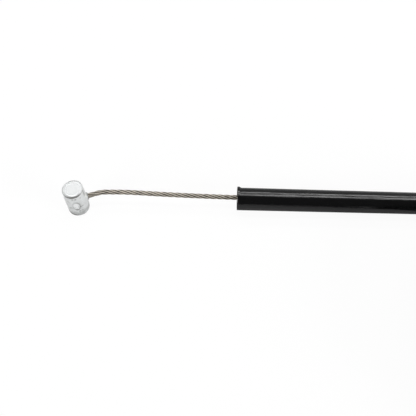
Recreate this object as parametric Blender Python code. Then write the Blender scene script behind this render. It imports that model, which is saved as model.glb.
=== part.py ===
"""Reverse lockout cable of a motorcycle or quad: a stranded inner wire that slides in a vinyl-covered conduit.

Metres, +Z up. The floor is z = 0. The origin is the centre of the near barrel nipple's lower end face, and the
near stretch of conduit runs along +X. The near end has a barrel nipple, the bare wire and the cut mouth of the
conduit. The conduit then turns into a flat coil held by two ties, and comes back along -X to the far end: a
crimped threaded adjuster with two lock nuts, the wire again, and a second barrel nipple.
"""
import math

import bmesh
import bpy
from mathutils import Matrix, Vector

MM = 0.001

# Barrel nipples, zinc cast on the wire
NIPPLE_DIAMETER = 6.35 * MM
NIPPLE_LENGTH = 10.4 * MM
NIPPLE_EDGE = 0.34 * MM
EXIT_HEIGHT = 4.9 * MM
WIRE_SOCKET_DEPTH = 2.6 * MM
BOSS_WALL = 0.5 * MM
BOSS_REACH = 0.75 * MM
EJECTOR_RADIUS = 1.25 * MM
EJECTOR_STRETCH = 1.5
EJECTOR_HEIGHT = 5.6 * MM
EJECTOR_GROOVE = 0.3 * MM
EJECTOR_DEPTH = 0.33 * MM
EJECTOR_DIRECTION = math.radians(-80)
TOOL_REACH = 1.0 * MM

# Inner wire: six strands laid round a core strand
STRAND_COUNT = 6
STRAND_RADIUS = 0.234 * MM
CORE_RADIUS = 0.235 * MM
STRAND_CLEARANCE = 0.045 * MM
STRAND_CIRCLE = CORE_RADIUS + STRAND_CLEARANCE + STRAND_RADIUS
WIRE_RADIUS = STRAND_CIRCLE + STRAND_RADIUS
LAY_LENGTH = 13.2 * MM
WIRE_IN_SOCKET = 2.3 * MM
WIRE_IN_CONDUIT = 26.0 * MM
WIRE_IN_ADJUSTER = 6.0 * MM
SOCKET_CLEARANCE = 0.06 * MM
WIRE_LEAVES_AT = math.radians(20)
WIRE_STRAIGHT = 2.2 * MM
WIRE_BENDS = ((6.25, 2.36), (7.6, 2.66), (10.0, 2.80), (14.2, 2.93), (18.5, 2.86), (23.5, 2.72), (29.5, 2.60), (36.0, 2.53),
              (42.5, 2.50))
WIRE_MOUTH_OFFSET = Vector((0.0, 0.30, 0.35)) * MM

# Conduit, from the inside out: liner, spiral winding and jacket, round a wire that lies off the middle
BORE_CLEARANCE = 0.141 * MM
LINER_WALL = 0.4 * MM
LINER_GAP = 0.1 * MM
WINDING_WALL = 0.7 * MM
WINDING_GAP = 0.2 * MM
JACKET_WALL = 0.75 * MM
LINER_BORE = WIRE_RADIUS + WIRE_MOUTH_OFFSET.length + BORE_CLEARANCE
LINER_RADIUS = LINER_BORE + LINER_WALL
WINDING_BORE = LINER_RADIUS + LINER_GAP
WINDING_RADIUS = WINDING_BORE + WINDING_WALL
JACKET_BORE = WINDING_RADIUS + WINDING_GAP
JACKET_RADIUS = JACKET_BORE + JACKET_WALL
LAYER_RECESS = 0.4 * MM
LIP_LENGTH = 1.0 * MM
LIP_RISE = 0.34 * MM
LIP_DIRECTION = math.radians(38)
MOUTH_EDGE = 0.12 * MM
MOUTH = Vector((48.7 * MM, 2.2 * MM, JACKET_RADIUS))
SOLID_GAP = 0.3 * MM

# Coil that puts the spare conduit away, its turns two by two
COIL_MEAN_RADIUS = 38.5 * MM
COIL_CENTRE_X = 146.0 * MM
TURNS_WIDE = 2
TURNS_HIGH = 2
COIL_STEPS = 48
VALLEY_ANGLE = math.radians(55)
ARC_POINTS = 5
COIL_INNER = COIL_MEAN_RADIUS - TURNS_WIDE * JACKET_RADIUS
COIL_OUTER = COIL_MEAN_RADIUS + TURNS_WIDE * JACKET_RADIUS
COIL_HEIGHT = TURNS_HIGH * 2 * JACKET_RADIUS
OUTER_TURN = COIL_OUTER - JACKET_RADIUS
TOP_TURN = COIL_HEIGHT - JACKET_RADIUS
COIL_CENTRE = Vector((COIL_CENTRE_X, MOUTH.y - OUTER_TURN, 0.0))
LEAD_CLEAR = COIL_OUTER + SOLID_GAP
LEAD_REACH = math.sqrt(LEAD_CLEAR ** 2 - (OUTER_TURN - JACKET_RADIUS) ** 2)

# Ties round the coil
TIE_ANGLES = (math.radians(18), math.radians(198))
TIE_WIDTH = 3.6 * MM
TIE_THICKNESS = 1.0 * MM
TIE_CORNER = 3.4 * MM
TIE_HEAD = Vector((3.2, 5.0, 4.4)) * MM
TIE_HEAD_EDGE = 0.6 * MM
TIE_TAIL_INSET = 0.5 * MM
TIE_TAIL_LENGTH = 3.0 * MM

# Far end: adjuster, lock nuts and the second nipple
TAIL_LENGTH = 61.0 * MM
TAIL_SPACING = 9.0 * MM
TAIL_FALL = ((0.0, 0.83), (0.19, 0.58), (0.41, 0.29), (0.66, 0.09), (0.88, 0.0))
CUP_WALL = 0.9 * MM
CUP_DEPTH = 10.0 * MM
CUP_FLOOR = 2.0 * MM
CUP_CLEARANCE = 0.3 * MM
CRIMP_DEPTH = 0.35 * MM
CRIMP_WIDTH = 1.6 * MM
CRIMPS = (2.6 * MM, 6.2 * MM)
THREAD_DIAMETER = 6.0 * MM
THREAD_LENGTH = 32.0 * MM
THREAD_CHAMFER = 0.6 * MM
ADJUSTER_CLEARANCE = 0.6 * MM
NUT_ACROSS_FLATS = 10.0 * MM
NUT_THICKNESS = 5.0 * MM
NUT_CLEARANCE = 0.12 * MM
NUT_CHAMFER = math.radians(30)
FIRST_NUT = 8.0 * MM
BRACKET_ROOM = 6.0 * MM
NUT_PLACES = (FIRST_NUT, FIRST_NUT + NUT_THICKNESS + BRACKET_ROOM)
FAR_AXIS_Z = max(NIPPLE_LENGTH - EXIT_HEIGHT, NUT_ACROSS_FLATS / 2)
WIRE_TRAVEL = 20.0 * MM
STOP_GAP = 0.5 * MM

# Facets
ROUND = 32
SMALL_ROUND = 24
TOOL_ROUND = 16
STRAND_SIDES = 6
STATIONS_PER_LAY = 11
CURVE_SAMPLES = 40
MERGE_DISTANCE = 0.001 * MM


def clear_scene():
    """Remove every object of the opened scene."""
    for thing in list(bpy.data.objects):
        bpy.data.objects.remove(thing, do_unlink=True)


def make_material(name, colour, roughness, metallic):
    """Return a Principled material of one colour."""
    made = bpy.data.materials.new(name)
    made.use_nodes = True
    shader = made.node_tree.nodes["Principled BSDF"]
    shader.inputs["Base Color"].default_value = (*colour, 1.0)
    shader.inputs["Roughness"].default_value = roughness
    shader.inputs["Metallic"].default_value = metallic
    return made


def add_object(name, shape, finish, parent=None, smooth=35.0):
    """Turn a bmesh into a named object with its own material."""
    bmesh.ops.recalc_face_normals(shape, faces=shape.faces)
    mesh = bpy.data.meshes.new(name)
    shape.to_mesh(mesh)
    shape.free()
    mesh.shade_smooth()
    mesh.set_sharp_from_angle(angle=math.radians(smooth))
    mesh.materials.append(make_material(name, *finish))
    made = bpy.data.objects.new(name, mesh)
    bpy.context.scene.collection.objects.link(made)
    if parent is not None:
        made.parent = parent
    return made


def add_empty(name, place):
    """Add an empty that carries the pieces of one moving group."""
    made = bpy.data.objects.new(name, None)
    made.location = place
    bpy.context.scene.collection.objects.link(made)
    return made


def use_as_cutter(made):
    """Show an object as a wire guide that is no part of the cable."""
    made.hide_render = True
    made.display_type = "WIRE"
    return made


def cut(target, tool, operation="DIFFERENCE"):
    """Put an exact Boolean with a tool on a target."""
    step = target.modifiers.new(tool.name, "BOOLEAN")
    step.operation = operation
    step.solver = "EXACT"
    step.object = tool


ZINC = ((0.72, 0.74, 0.74), 0.38, 0.9)
STEEL_WIRE = ((0.50, 0.47, 0.43), 0.35, 0.9)
VINYL = ((0.012, 0.012, 0.013), 0.32, 0.0)
SPRING_STEEL = ((0.40, 0.40, 0.41), 0.35, 1.0)
NYLON_LINER = ((0.85, 0.84, 0.78), 0.45, 0.0)
PLATED_STEEL = ((0.66, 0.66, 0.64), 0.30, 1.0)
BLACK_NYLON = ((0.02, 0.02, 0.02), 0.50, 0.0)


def turned(profile, steps, axis=Vector((0, 0, 1)), closed=True):
    """Spin a profile of (radius, along) points about an axis through the origin.

    A closed profile is joined end to start and makes a ring or tube, and an open one starts and ends on the axis.
    """
    shape = bmesh.new()
    side = axis.orthogonal().normalized()
    points = [shape.verts.new(side * radius + axis * along) for radius, along in profile]
    edges = [shape.edges.new(pair) for pair in zip(points, points[1:])]
    if closed:
        edges.append(shape.edges.new((points[-1], points[0])))
    bmesh.ops.spin(shape, geom=points + edges, cent=(0, 0, 0), axis=axis, angle=math.tau, steps=steps)
    bmesh.ops.remove_doubles(shape, verts=shape.verts, dist=MERGE_DISTANCE)
    return shape


def rounded_corner(centre, radius, start, end, count):
    """Return points along an arc, both its ends included."""
    angles = [start + (end - start) * k / (count - 1) for k in range(count)]
    return [(centre[0] + radius * math.cos(a), centre[1] + radius * math.sin(a)) for a in angles]


def smooth_path(knots, spacing):
    """Return evenly spaced points of a smooth curve through the knots."""
    dense = []
    ends = [knots[0] * 2 - knots[1]] + knots + [knots[-1] * 2 - knots[-2]]
    for a, b, c, d in zip(ends, ends[1:], ends[2:], ends[3:]):
        for k in range(CURVE_SAMPLES):
            t = k / CURVE_SAMPLES
            dense.append(0.5 * ((2 * b) + (c - a) * t + (2 * a - 5 * b + 4 * c - d) * t * t
                                + (3 * b - a - 3 * c + d) * t ** 3))
    dense.append(knots[-1].copy())
    lengths = [0.0]
    for a, b in zip(dense, dense[1:]):
        lengths.append(lengths[-1] + (b - a).length)
    count = max(2, round(lengths[-1] / spacing) + 1)
    points, at = [], 0
    for k in range(count):
        want = lengths[-1] * k / (count - 1)
        while at < len(lengths) - 2 and lengths[at + 1] < want:
            at += 1
        share = (want - lengths[at]) / max(lengths[at + 1] - lengths[at], 1e-12)
        points.append(dense[at].lerp(dense[at + 1], share))
    return points


def path_frames(points):
    """Return (place, across, upward, distance) at each point of a path that never stands upright."""
    frames, distance = [], 0.0
    for k, place in enumerate(points):
        ahead = points[min(k + 1, len(points) - 1)] - points[max(k - 1, 0)]
        ahead.normalize()
        across = ahead.cross(Vector((0, 0, 1))).normalized()
        upward = across.cross(ahead)
        if k:
            distance += (place - points[k - 1]).length
        frames.append((place, across, upward, distance))
    return frames


def strand_shape(frames, circle, radius, phase):
    """Loft one strand round the wire's path, as a right-hand lay, closed at both ends."""
    shape = bmesh.new()
    loops = []
    for place, across, upward, distance in frames:
        turn = phase - math.tau * distance / LAY_LENGTH
        centre = place + (across * math.cos(turn) + upward * math.sin(turn)) * circle
        ring = []
        for k in range(STRAND_SIDES):
            a = turn + math.tau * k / STRAND_SIDES
            ring.append(shape.verts.new(centre + (across * math.cos(a) + upward * math.sin(a)) * radius))
        loops.append([shape.edges.new((ring[k], ring[(k + 1) % STRAND_SIDES])) for k in range(STRAND_SIDES)])
    for first, second in zip(loops, loops[1:]):
        bmesh.ops.bridge_loops(shape, edges=first + second)
    for end in (loops[0], loops[-1]):
        bmesh.ops.contextual_create(shape, geom=end)
    return shape


def wire_rope(prefix, knots, parent):
    """Build a core strand and the strands laid round it along a route."""
    stations = smooth_path(knots, LAY_LENGTH / STATIONS_PER_LAY)
    frames = path_frames(stations)
    local = [(place - parent.location, *rest) for place, *rest in frames]
    add_object(f"{prefix}_wire_core_strand", strand_shape(local, 0.0, CORE_RADIUS, 0.0), STEEL_WIRE, parent)
    for number in range(STRAND_COUNT):
        phase = math.tau * number / STRAND_COUNT
        shape = strand_shape(local, STRAND_CIRCLE, STRAND_RADIUS, phase)
        add_object(f"{prefix}_wire_strand_{number + 1}", shape, STEEL_WIRE, parent)


def barrel_nipple(name, direction, flipped, parent):
    """Build a cast barrel with its wire boss, its wire socket and the oval ring that an ejector pin left.

    direction is the way the wire leaves, as an angle about Z. A flipped barrel stands on its other end.
    """
    radius = NIPPLE_DIAMETER / 2
    profile = [(0.0, 0.0), (radius - NIPPLE_EDGE, 0.0), (radius, NIPPLE_EDGE),
               (radius, NIPPLE_LENGTH - NIPPLE_EDGE), (radius - NIPPLE_EDGE, NIPPLE_LENGTH), (0.0, NIPPLE_LENGTH)]
    barrel = add_object(name, turned(profile, ROUND, closed=False), ZINC, parent)
    height = NIPPLE_LENGTH - EXIT_HEIGHT if flipped else EXIT_HEIGHT
    outward = Matrix.Rotation(direction, 4, "Z") @ Matrix.Rotation(math.pi / 2, 4, "Y")
    wire_height = Matrix.Translation((0, 0, height))

    socket_radius = WIRE_RADIUS + SOCKET_CLEARANCE
    boss_radius = socket_radius + BOSS_WALL
    boss_profile = [(0.0, radius / 2), (boss_radius, radius / 2), (boss_radius, radius + BOSS_REACH / 2),
                    (boss_radius - BOSS_WALL / 2, radius + BOSS_REACH), (0.0, radius + BOSS_REACH)]
    socket_floor = radius - WIRE_SOCKET_DEPTH
    socket_mouth = radius + 2 * BOSS_REACH
    socket_profile = [(0.0, socket_floor), (socket_radius, socket_floor), (socket_radius, socket_mouth),
                      (0.0, socket_mouth)]
    ring_low, ring_high = radius - EJECTOR_DEPTH, radius + TOOL_REACH
    ring_near, ring_far = EJECTOR_RADIUS - EJECTOR_GROOVE / 2, EJECTOR_RADIUS + EJECTOR_GROOVE / 2
    ring_profile = [(ring_near, ring_low), (ring_far, ring_low), (ring_far, ring_high), (ring_near, ring_high)]
    ejector_height = NIPPLE_LENGTH - EJECTOR_HEIGHT if flipped else EJECTOR_HEIGHT
    ejector = (Matrix.Translation((0, 0, ejector_height)) @ Matrix.Rotation(EJECTOR_DIRECTION, 4, "Z")
               @ Matrix.Diagonal((1, 1, EJECTOR_STRETCH, 1)) @ Matrix.Rotation(math.pi / 2, 4, "Y"))
    tools = ((f"{name}_boss", boss_profile, False, wire_height @ outward, "UNION"),
             (f"{name}_socket", socket_profile, False, wire_height @ outward, "DIFFERENCE"),
             (f"{name}_ejector", ring_profile, True, ejector, "DIFFERENCE"))
    for tool_name, points, closed, place, operation in tools:
        tool = add_object(tool_name, turned(points, TOOL_ROUND, closed=closed), ZINC, parent)
        tool.matrix_local = place
        cut(barrel, use_as_cutter(tool), operation)
    return barrel


def near_wire_knots():
    """Return the points, from inside the near nipple to inside the conduit, that the near wire runs through."""
    leave = Vector((math.cos(WIRE_LEAVES_AT), math.sin(WIRE_LEAVES_AT), 0.0))
    surface = NIPPLE_DIAMETER / 2
    height = Vector((0, 0, EXIT_HEIGHT))
    mouth = MOUTH + WIRE_MOUTH_OFFSET
    straight = [leave * reach + height for reach in (surface - WIRE_IN_SOCKET, surface,
                                                     surface + WIRE_STRAIGHT / 2, surface + WIRE_STRAIGHT)]
    free = [Vector((x * MM, y * MM, EXIT_HEIGHT)) for x, y in WIRE_BENDS]
    for place in free:
        place.z += (mouth.z - EXIT_HEIGHT) * place.x / mouth.x
    inside = [mouth + Vector((WIRE_IN_CONDUIT * share, 0, 0)) for share in (0, 1 / 3, 2 / 3, 1)]
    return straight + free + inside


def conduit_tube(name, outer, inner, finish):
    """Build one inner layer of the near conduit, a tube along +X that ends just inside the jacket's mouth."""
    start, end = MOUTH.x + LAYER_RECESS, COIL_CENTRE.x - LEAD_REACH
    profile = [(inner, start), (outer, start), (outer, end), (inner, end)]
    made = add_object(name, turned(profile, ROUND, Vector((1, 0, 0))), finish)
    made.location = (0.0, MOUTH.y, MOUTH.z)
    return made


def near_jacket():
    """Build the jacket of the near stretch, with the lip that the cutter squeezed up on one side."""
    start, end = MOUTH.x, COIL_CENTRE.x - LEAD_REACH
    inner = JACKET_BORE
    profile = [(inner, start), (JACKET_RADIUS - MOUTH_EDGE, start), (JACKET_RADIUS, start + MOUTH_EDGE),
               (JACKET_RADIUS, start + LIP_LENGTH), (JACKET_RADIUS, start + 1.4 * LIP_LENGTH),
               (JACKET_RADIUS, end), (inner, end)]
    shape = turned(profile, ROUND, Vector((1, 0, 0)))
    for point in shape.verts:
        radius = math.hypot(point.co.y, point.co.z)
        if radius > inner + JACKET_WALL / 2 and point.co.x < start + 1.2 * LIP_LENGTH:
            around = math.atan2(point.co.z, point.co.y)
            rise = LIP_RISE * (0.5 + 0.5 * math.cos(around - LIP_DIRECTION)) ** 1.5
            point.co.yz = point.co.yz * ((radius + rise) / radius)
    made = add_object("near_conduit_jacket", shape, VINYL)
    made.location = (0.0, MOUTH.y, MOUTH.z)
    return made


def coil_outline():
    """Return the section of the coiled turns as (radius, height) points, a corner arc for each outer turn."""
    low, high = JACKET_RADIUS, TOP_TURN
    near, far = COIL_INNER + JACKET_RADIUS, OUTER_TURN
    quarter = math.pi / 2
    outline = []
    for number, centre in enumerate(((far, low), (far, high), (near, high), (near, low))):
        start = (number - 1) * quarter
        outline += rounded_corner(centre, JACKET_RADIUS, start - VALLEY_ANGLE, start + quarter + VALLEY_ANGLE,
                                  ARC_POINTS)
    return outline


def coil_and_ties():
    """Build the coil as one turned ring, and the two ties that hold its turns together."""
    coil = add_object("conduit_coil", turned(coil_outline(), COIL_STEPS), VINYL)
    coil.location = COIL_CENTRE
    for number, angle in enumerate(TIE_ANGLES):
        place = Matrix.Translation(COIL_CENTRE) @ Matrix.Rotation(angle, 4, "Z")
        band = add_object(f"coil_tie_{number + 1}", tie_band(0.0), BLACK_NYLON)
        band.matrix_local = place
        head = add_object(f"coil_tie_{number + 1}_head", tie_head(), BLACK_NYLON)
        head.matrix_local = place
        cut(band, use_as_cutter(head), "UNION")
        room = add_object(f"coil_tie_{number + 1}_room", tie_band(SOLID_GAP), BLACK_NYLON)
        room.matrix_local = place
        cut(coil, use_as_cutter(room))
    return coil


def tie_loop(low, high, bottom, top, corner):
    """Return a rectangle with round corners as (radius, height) points."""
    quarter = math.pi / 2
    centres = ((high - corner, bottom + corner), (high - corner, top - corner), (low + corner, top - corner),
               (low + corner, bottom + corner))
    return [point for number, centre in enumerate(centres)
            for point in rounded_corner(centre, corner, (number - 1) * quarter, number * quarter, 5)]


def tie_band(room):
    """Extrude a tie's closed band along the coil's turns, thickened all round by room."""
    low, high = COIL_INNER - SOLID_GAP, COIL_OUTER + SOLID_GAP
    bottom, top = TIE_THICKNESS, COIL_HEIGHT + SOLID_GAP
    inner = tie_loop(low + room, high - room, bottom + room, top - room, TIE_CORNER)
    reach = TIE_THICKNESS + room
    outer = tie_loop(low - reach, high + reach, bottom - reach, top + reach, TIE_CORNER + reach)
    width = TIE_WIDTH / 2 + room
    shape = bmesh.new()
    for loop in (inner, outer):
        points = [shape.verts.new((radius, -width, height)) for radius, height in loop]
        for k, point in enumerate(points):
            shape.edges.new((point, points[(k + 1) % len(points)]))
    bmesh.ops.bridge_loops(shape, edges=shape.edges[:])
    made = bmesh.ops.extrude_face_region(shape, geom=shape.faces[:])
    moved = [item for item in made["geom"] if isinstance(item, bmesh.types.BMVert)]
    bmesh.ops.translate(shape, verts=moved, vec=(0, 2 * width, 0))
    return shape


def tie_head():
    """Build a tie's lock head with the trimmed end of its strap, outside the band at half height."""
    shape = bmesh.new()
    outside = COIL_OUTER + SOLID_GAP
    middle = Vector((outside + TIE_HEAD.x / 2 + SOLID_GAP / 2, 0.0, COIL_HEIGHT / 2))
    head = Matrix.Translation(middle) @ Matrix.Diagonal((TIE_HEAD.x, TIE_HEAD.y, TIE_HEAD.z, 1.0))
    bmesh.ops.create_cube(shape, size=1.0, matrix=head)
    bmesh.ops.bevel(shape, geom=shape.edges[:], offset=TIE_HEAD_EDGE, segments=1, affect="EDGES")
    top = [face for face in shape.faces if face.normal.z > 0.9]
    bmesh.ops.inset_region(shape, faces=top, thickness=TIE_TAIL_INSET)
    grown = bmesh.ops.extrude_face_region(shape, geom=top)
    moved = [item for item in grown["geom"] if isinstance(item, bmesh.types.BMVert)]
    bmesh.ops.translate(shape, verts=moved, vec=(0, 0, TIE_TAIL_LENGTH))
    bmesh.ops.delete(shape, geom=top, context="FACES_ONLY")
    return shape


def tail_knots():
    """Return the points of the conduit from the coil down to the bottom of the adjuster's cup."""
    line = COIL_CENTRE.y - OUTER_TURN
    start, cup = COIL_CENTRE.x - LEAD_REACH, COIL_CENTRE.x - TAIL_LENGTH
    knots = [Vector((start + (cup - start) * along, line, FAR_AXIS_Z + (TOP_TURN - FAR_AXIS_Z) * left))
             for along, left in TAIL_FALL]
    knots.append(far_place(0.0))
    knots.append(far_place(CUP_DEPTH - SOLID_GAP))
    return knots


def cord_tube(name, points, radius):
    """Build a plain round cord through points as a bevelled curve with closed ends."""
    curve = bpy.data.curves.new(name, "CURVE")
    curve.dimensions = "3D"
    curve.bevel_depth = radius
    curve.bevel_resolution = 4
    curve.use_fill_caps = True
    spline = curve.splines.new("POLY")
    spline.points.add(len(points) - 1)
    for target, place in zip(spline.points, points):
        target.co = (*place, 1.0)
    curve.materials.append(make_material(name, *VINYL))
    made = bpy.data.objects.new(name, curve)
    bpy.context.scene.collection.objects.link(made)
    return made


def adjuster():
    """Turn the adjuster: the cup crimped on the jacket, its floor and the threaded shank, all bored for the wire."""
    cup_bore = JACKET_RADIUS + CUP_CLEARANCE
    cup, shank, bore = cup_bore + CUP_WALL, THREAD_DIAMETER / 2, WIRE_RADIUS + ADJUSTER_CLEARANCE
    length = CUP_DEPTH + CUP_FLOOR + THREAD_LENGTH
    outside = [(cup_bore, 0.0), (cup, 0.0)]
    for place in CRIMPS:
        ramp = CRIMP_WIDTH / 4
        outside += [(cup, place), (cup - CRIMP_DEPTH, place + ramp), (cup - CRIMP_DEPTH, place + CRIMP_WIDTH - ramp),
                    (cup, place + CRIMP_WIDTH)]
    outside += [(cup, CUP_DEPTH + CUP_FLOOR / 2), (cup - CUP_FLOOR / 2, CUP_DEPTH + CUP_FLOOR),
                (shank, CUP_DEPTH + CUP_FLOOR), (shank, length - THREAD_CHAMFER), (shank - THREAD_CHAMFER, length)]
    inside = [(bore, length), (bore, CUP_DEPTH), (cup_bore, CUP_DEPTH)]
    made = add_object("far_adjuster", turned(outside + inside, SMALL_ROUND, Vector((-1, 0, 0))), PLATED_STEEL)
    made.location = far_place(0.0)
    return made


def far_place(along):
    """Return the point of the far end's axis at a distance past the mouth of the adjuster's cup."""
    return Vector((COIL_CENTRE.x - TAIL_LENGTH - along, COIL_CENTRE.y - OUTER_TURN, FAR_AXIS_Z))


def lock_nut(number, place):
    """Build a hexagon nut with chamfered corners, flat side down, that turns on the adjuster's thread."""
    corner = NUT_ACROSS_FLATS / 2 / math.cos(math.pi / 6)
    half = NUT_THICKNESS / 2
    drop = (corner - NUT_ACROSS_FLATS / 2) * math.tan(NUT_CHAMFER)
    hole = (THREAD_DIAMETER / 2 + NUT_CLEARANCE) / math.cos(math.pi / SMALL_ROUND)
    carrier = add_empty(f"far_lock_nut_{number}_axis", far_place(CUP_DEPTH + CUP_FLOOR + place + half))
    shape = bmesh.new()
    bmesh.ops.create_cone(shape, cap_ends=True, segments=6, radius1=corner, radius2=corner, depth=NUT_THICKNESS)
    bmesh.ops.rotate(shape, verts=shape.verts, matrix=Matrix.Rotation(math.pi / 2, 3, "Y"))
    nut = add_object(f"far_lock_nut_{number}", shape, PLATED_STEEL, carrier)
    past = half + TOOL_REACH
    turned_off = [(0.0, -past), (NUT_ACROSS_FLATS / 2, -half), (corner, -half + drop),
                  (corner * 1.2, -half + drop), (corner * 1.2, half - drop), (corner, half - drop),
                  (NUT_ACROSS_FLATS / 2, half), (0.0, past)]
    rim = add_object(f"{nut.name}_rim", turned(turned_off, SMALL_ROUND, Vector((1, 0, 0)), closed=False),
                     PLATED_STEEL, carrier)
    bore_profile = [(0.0, -past), (hole, -past), (hole, past), (0.0, past)]
    bore = add_object(f"{nut.name}_bore", turned(bore_profile, SMALL_ROUND, Vector((1, 0, 0)), closed=False),
                      PLATED_STEEL, carrier)
    cut(nut, use_as_cutter(rim), "INTERSECT")
    cut(nut, use_as_cutter(bore))
    return nut


def near_end():
    """Build the near nipple and wire on the empty that they slide with."""
    carrier = add_empty("near_wire_slide", (0.0, 0.0, 0.0))
    barrel_nipple("near_barrel_nipple", WIRE_LEAVES_AT, False, carrier)
    wire_rope("near", near_wire_knots(), carrier)


def far_end():
    """Build the far adjuster, its lock nuts, and the wire and nipple that slide in it."""
    adjuster()
    for number, place in enumerate(NUT_PLACES):
        lock_nut(number + 1, place)
    shank_end = CUP_DEPTH + CUP_FLOOR + THREAD_LENGTH
    centre = far_place(shank_end + WIRE_TRAVEL + STOP_GAP + BOSS_REACH + NIPPLE_DIAMETER / 2)
    base = centre.z - (NIPPLE_LENGTH - EXIT_HEIGHT)
    carrier = add_empty("far_wire_slide", (centre.x, centre.y, base))
    barrel_nipple("far_barrel_nipple", 0.0, True, carrier)
    start = centre + Vector((NIPPLE_DIAMETER / 2 - WIRE_IN_SOCKET, 0, 0))
    end = far_place(shank_end - WIRE_IN_ADJUSTER)
    wire_rope("far", [start.lerp(end, k / 4) for k in range(5)], carrier)


def conduit():
    """Build the near layers of the conduit, the coil with its ties, and the tail."""
    near_jacket()
    conduit_tube("near_conduit_winding", WINDING_RADIUS, WINDING_BORE, SPRING_STEEL)
    conduit_tube("near_conduit_liner", LINER_RADIUS, LINER_BORE, NYLON_LINER)
    coil_and_ties()
    cord_tube("conduit_tail", smooth_path(tail_knots(), TAIL_SPACING), JACKET_RADIUS)


def build():
    """Build the whole cable."""
    clear_scene()
    near_end()
    conduit()
    far_end()


build()
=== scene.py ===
"""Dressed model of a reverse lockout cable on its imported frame.

The near end shows a cast barrel nipple, the bare stranded wire and the cut mouth of a vinyl-covered conduit.
The rest of the conduit lies in a tied coil, and ends in a crimped threaded adjuster with two lock nuts and a
second barrel nipple. All places and sizes are in metres, in the frame's own axes.
"""
import logging
import math
from collections.abc import Callable, Iterable, Sequence
from dataclasses import dataclass
from enum import Enum

import bmesh
import bpy
import numpy as np
from mathutils import Matrix, Vector, noise


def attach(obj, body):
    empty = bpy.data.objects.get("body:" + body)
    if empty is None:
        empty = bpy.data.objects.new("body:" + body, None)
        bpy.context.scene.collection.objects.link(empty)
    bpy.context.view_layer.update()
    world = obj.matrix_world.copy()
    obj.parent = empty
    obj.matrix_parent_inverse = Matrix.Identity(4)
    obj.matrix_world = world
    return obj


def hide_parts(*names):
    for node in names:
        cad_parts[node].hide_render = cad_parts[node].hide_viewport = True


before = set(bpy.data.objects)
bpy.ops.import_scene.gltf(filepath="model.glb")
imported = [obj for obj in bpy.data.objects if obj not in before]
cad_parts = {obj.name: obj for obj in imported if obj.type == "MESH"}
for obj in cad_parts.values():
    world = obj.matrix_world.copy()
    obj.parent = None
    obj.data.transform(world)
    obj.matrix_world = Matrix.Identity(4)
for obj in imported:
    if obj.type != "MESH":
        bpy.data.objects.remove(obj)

MM = 0.001
WHITE = (1.0, 1.0, 1.0, 1.0)
LOG = logging.getLogger("cable")


class Body(str, Enum):
    """Rigid bodies of the frame that the pieces ride on."""

    CONDUIT = "conduit"
    NEAR_WIRE = "near_wire"
    FAR_WIRE = "far_wire"
    NUT_1 = "lock_nut_1"
    NUT_2 = "lock_nut_2"


class Slot(str, Enum):
    """Finish slots of the record."""

    ZINC = "zinc_casting"
    WIRE = "wire_steel"
    VINYL = "conduit_vinyl"
    SPRING = "winding_steel"
    LINER = "liner_nylon"
    PLATED = "plated_steel"
    TIE = "tie_nylon"


@dataclass(frozen=True)
class Layout:
    """Places and sizes that several sub-assemblies share. Angles are in degrees."""

    nipple_radius: float = 3.175 * MM
    nipple_length: float = 10.4 * MM
    exit_height: float = 4.9 * MM
    exit_angle: float = 20.0
    strand_count: int = 6
    strand_radius: float = 0.234 * MM
    core_radius: float = 0.235 * MM
    strand_circle: float = 0.514 * MM
    lay_length: float = 13.2 * MM
    wire_in_socket: float = 2.3 * MM
    jacket_radius: float = 3.5 * MM
    jacket_bore: float = 2.75 * MM
    winding_radius: float = 2.55 * MM
    winding_bore: float = 1.85 * MM
    liner_radius: float = 1.75 * MM
    liner_bore: float = 1.35 * MM
    layer_recess: float = 0.4 * MM
    mouth: Vector = Vector((48.7, 2.2, 3.5)) * MM
    coil_centre: Vector = Vector((146.0, -39.8, 0.0)) * MM
    inner_turn: float = 35.0 * MM
    outer_turn: float = 42.0 * MM
    low_turn: float = 3.5 * MM
    top_turn: float = 10.5 * MM
    near_stretch_end: float = 121.2 * MM
    cup_mouth: Vector = Vector((85.0, -81.8, 5.5)) * MM
    cup_depth: float = 10.0 * MM
    cup_floor: float = 2.0 * MM
    thread_length: float = 32.0 * MM
    thread_radius: float = 3.0 * MM
    far_nipple: Vector = Vector((16.575, -81.8, 5.5)) * MM


LAYOUT = Layout()


# Modelling helpers

def only(piece: bpy.types.Object) -> None:
    """Leave edit mode, and select one object alone.

    Args:
        piece: The object that the next operators act on.
    """
    if bpy.context.mode != "OBJECT":
        bpy.ops.object.mode_set(mode="OBJECT")
    bpy.ops.object.select_all(action="DESELECT")
    piece.select_set(True)
    bpy.context.view_layer.objects.active = piece


def primitive(name: str, add: Callable[..., object], **values: object) -> bpy.types.Object:
    """Add a primitive with nothing else selected, and bake its place into its mesh.

    Args:
        name: The new object's name.
        add: The operator that adds it.
        values: Its sizes and place.

    Returns:
        The new object, with its mesh named too.
    """
    bpy.ops.object.select_all(action="DESELECT")
    add(**values)
    piece = bpy.context.active_object
    piece.name = piece.data.name = name
    bpy.ops.object.transform_apply(location=True, rotation=True, scale=True)
    return piece


def meshed(name: str, points: list, edges: list, faces: list) -> bpy.types.Object:
    """Make an object from points, edges and faces, and link it to the scene.

    Args:
        name: The name of the object and of its mesh.
        points: Places of the points.
        edges: Pairs of points.
        faces: Rings of points.

    Returns:
        The new object.
    """
    mesh = bpy.data.meshes.new(name)
    mesh.from_pydata(points, edges, faces)
    piece = bpy.data.objects.new(name, mesh)
    bpy.context.scene.collection.objects.link(piece)
    return piece


def face_outwards(piece: bpy.types.Object) -> None:
    """Turn every face of an object outwards.

    Args:
        piece: The object.
    """
    only(piece)
    bpy.ops.object.mode_set(mode="EDIT")
    bpy.ops.mesh.select_all(action="SELECT")
    bpy.ops.mesh.normals_make_consistent(inside=False)
    bpy.ops.object.mode_set(mode="OBJECT")


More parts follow.
